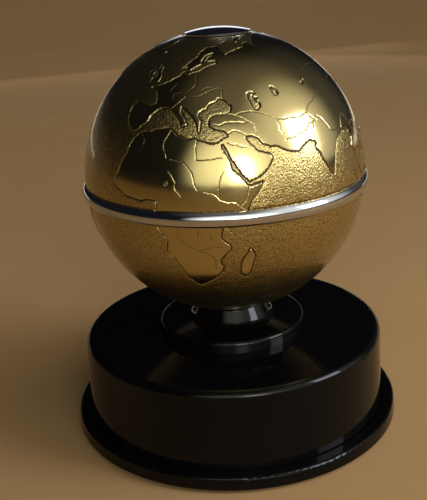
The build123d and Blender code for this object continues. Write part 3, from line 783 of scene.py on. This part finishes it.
slot_of = {
    "equator_ring": "bright_chrome", "polar_cap": "bright_chrome",
    "base_drum": "black_gloss", "plinth_ring": "black_gloss", "neck_collar": "black_gloss",
    "rubber_feet": "rubber_feet", "bottom_plate": "zinc_steel", "ballast_weight": "cast_iron",
    "north_boss": "brass", "south_boss": "brass", "axle_sleeve": "brass",
    "lower_bush": "bronze", "upper_bush": "bronze", "lower_thrust_washer": "bronze",
    "top_thrust_washer": "bronze", "joining_band": "plain_aluminium", "waist_rivets": "plain_aluminium",
    "north_boss_rivets": "plain_aluminium", "south_boss_rivets": "plain_aluminium",
}

# ---- Pieces ----

gold = gold_anodised_relief()
for hemisphere, half in (("northern_hemisphere", 1), ("southern_hemisphere", -1)):
    shell = relief_shell(hemisphere, half)
    shell.data.materials.append(gold)
    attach(shell, "globe")
    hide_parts(hemisphere)

for node_name, node in nodes.items():
    if node.hide_render:
        continue
    finish = finishes[slot_of.get(node_name, "fastener_steel")]
    for slot in node.material_slots:
        slot.material = finish

# ---- Studio: plain floor, soft boxes of light, and a dim room with soft glows ----


def direction(azimuth, elevation):
    """Unit vector of a direction; azimuth 0 is the front, -Y, and 90 is +X."""
    a, e = radians(azimuth), radians(elevation)
    return Vector((cos(e) * sin(a), -cos(e) * cos(a), sin(e)))


ball_centre = Vector((0, 0, ball_centre_z * MM))

floor_mesh = bpy.data.meshes.new("floor")
floor_bm = bmesh.new()
bmesh.ops.create_grid(floor_bm, x_segments=1, y_segments=1, size=6.0)
floor_bm.to_mesh(floor_mesh)
floor_bm.free()
floor = bpy.data.objects.new("floor", floor_mesh)
bpy.context.scene.collection.objects.link(floor)
floor.data.materials.append(
    simple_finish("warm_pale_board", "#AC8A60", "#A28056", 0.0, 0.12, 0.8, 0.05, 90.0, 1.5, 0.02)
)


def softbox(
        name, azimuth, elevation, distance, width, height, watts, roll=0.0, glossy=True, colour="#FFFFFF"):
    """A rectangular light that faces the ball's centre from that direction."""
    data = bpy.data.lights.new(name, "AREA")
    data.shape = "RECTANGLE"
    data.size = width
    data.size_y = height
    data.energy = watts
    data.color = linear(colour)[:3]
    lamp = bpy.data.objects.new(name, data)
    bpy.context.scene.collection.objects.link(lamp)
    towards = direction(azimuth, elevation)
    lamp.location = ball_centre + towards * distance
    lamp.rotation_mode = "QUATERNION"
    lamp.rotation_quaternion = towards.to_track_quat("Z", "Y") @ Quaternion((0, 0, 1), radians(roll))
    lamp.visible_camera = False
    lamp.visible_glossy = glossy


softbox("window_box", 72, 25, 0.9, 0.34, 0.42, 4.6, roll=-12, colour="#EEF2FF")
softbox("overhead_fill", 80, 58, 0.85, 0.6, 0.6, 1.5, glossy=False, colour="#FFF3E2")
softbox("left_rim_strip", -162, -2.2, 1.2, 1.5, 0.06, 0.24, colour="#FFF6E8")
softbox("right_rim_strip", 155, -2.2, 1.2, 1.2, 0.06, 0.19, colour="#FFF6E8")

room_dark = linear("#17181C")
world = bpy.data.worlds.new("dim_room")
bpy.context.scene.world = world
world.use_nodes = True
room = world.node_tree
room.nodes.clear()
ray = add_node(room, "ShaderNodeTexCoord").outputs["Generated"]
glows = [
    # azimuth, elevation, half angle where it starts and where it is full, strength, colour
    (5, 13, 41, 9, 1.9, "#F8FAEA"),
    (13, 14, 14, 3, 7.0, "#FFFFF4"),
    (68, 24, 50, 9, 0.95, "#F6F6EE"),
    (46, 52, 62, 8, 0.16, "#FFF6E6"),
    (180, 6, 10, 3, 1.6, "#F2F4FF"),
    (98, 18, 62, 14, 0.08, "#F4F0EA"),
]
total = add_node(room, "ShaderNodeBackground", {"Color": room_dark, "Strength": 1.0}).outputs[0]
above = add_node(room, "ShaderNodeSeparateXYZ", {0: ray}).outputs["Z"]
glow_foot, glow_level = 2.5, 4.5  # elevations between which the glows fade in above the horizon
over_edge = add_node(
    room, "ShaderNodeMapRange",
    {"Value": above, "From Min": sin(radians(glow_foot)), "From Max": sin(radians(glow_level))},
).outputs["Result"]
for azimuth, elevation, faint, full, strength, colour in glows:
    nearness = add_node(
        room, "ShaderNodeVectorMath", {0: ray, 1: direction(azimuth, elevation)}, operation="DOT_PRODUCT"
    ).outputs["Value"]
    glow = add_node(
        room, "ShaderNodeMapRange",
        {"Value": nearness, "From Min": cos(radians(faint)), "From Max": cos(radians(full)),
         "To Min": 0.0, "To Max": strength},
        interpolation_type="SMOOTHSTEP",
    ).outputs["Result"]
    bounded = add_node(room, "ShaderNodeMath", {0: glow, 1: over_edge}, operation="MULTIPLY").outputs[0]
    lit = add_node(room, "ShaderNodeBackground", {"Color": linear(colour), "Strength": bounded}).outputs[0]
    total = add_node(room, "ShaderNodeAddShader", {0: total, 1: lit}).outputs[0]
# the camera sees the plain dark room; only reflections and the light on things show the glows
plain = add_node(room, "ShaderNodeBackground", {"Color": room_dark, "Strength": 1.0}).outputs[0]
seen = add_node(room, "ShaderNodeLightPath").outputs["Is Camera Ray"]
hidden_glows = add_node(room, "ShaderNodeMixShader", {0: seen, 1: total, 2: plain}).outputs[0]
add_node(room, "ShaderNodeOutputWorld", {"Surface": hidden_glows})

# ---- Camera ----

camera_data = bpy.data.cameras.new("camera")
camera_data.lens = 62.36
camera_data.sensor_width = 36.0
camera = bpy.data.objects.new("camera", camera_data)
bpy.context.scene.collection.objects.link(camera)
camera.location = ball_centre + Vector((0, -363.5, 94.3)) * MM
aim = ball_centre + Vector((-6.76, 0, -35.96)) * MM
camera.rotation_mode = "QUATERNION"
looking = (aim - camera.location).to_track_quat("-Z", "Y")
camera.rotation_quaternion = looking @ Quaternion((0, 0, 1), radians(-3.3))
bpy.context.scene.camera = camera
bpy.context.scene.view_settings.view_transform = "Standard"
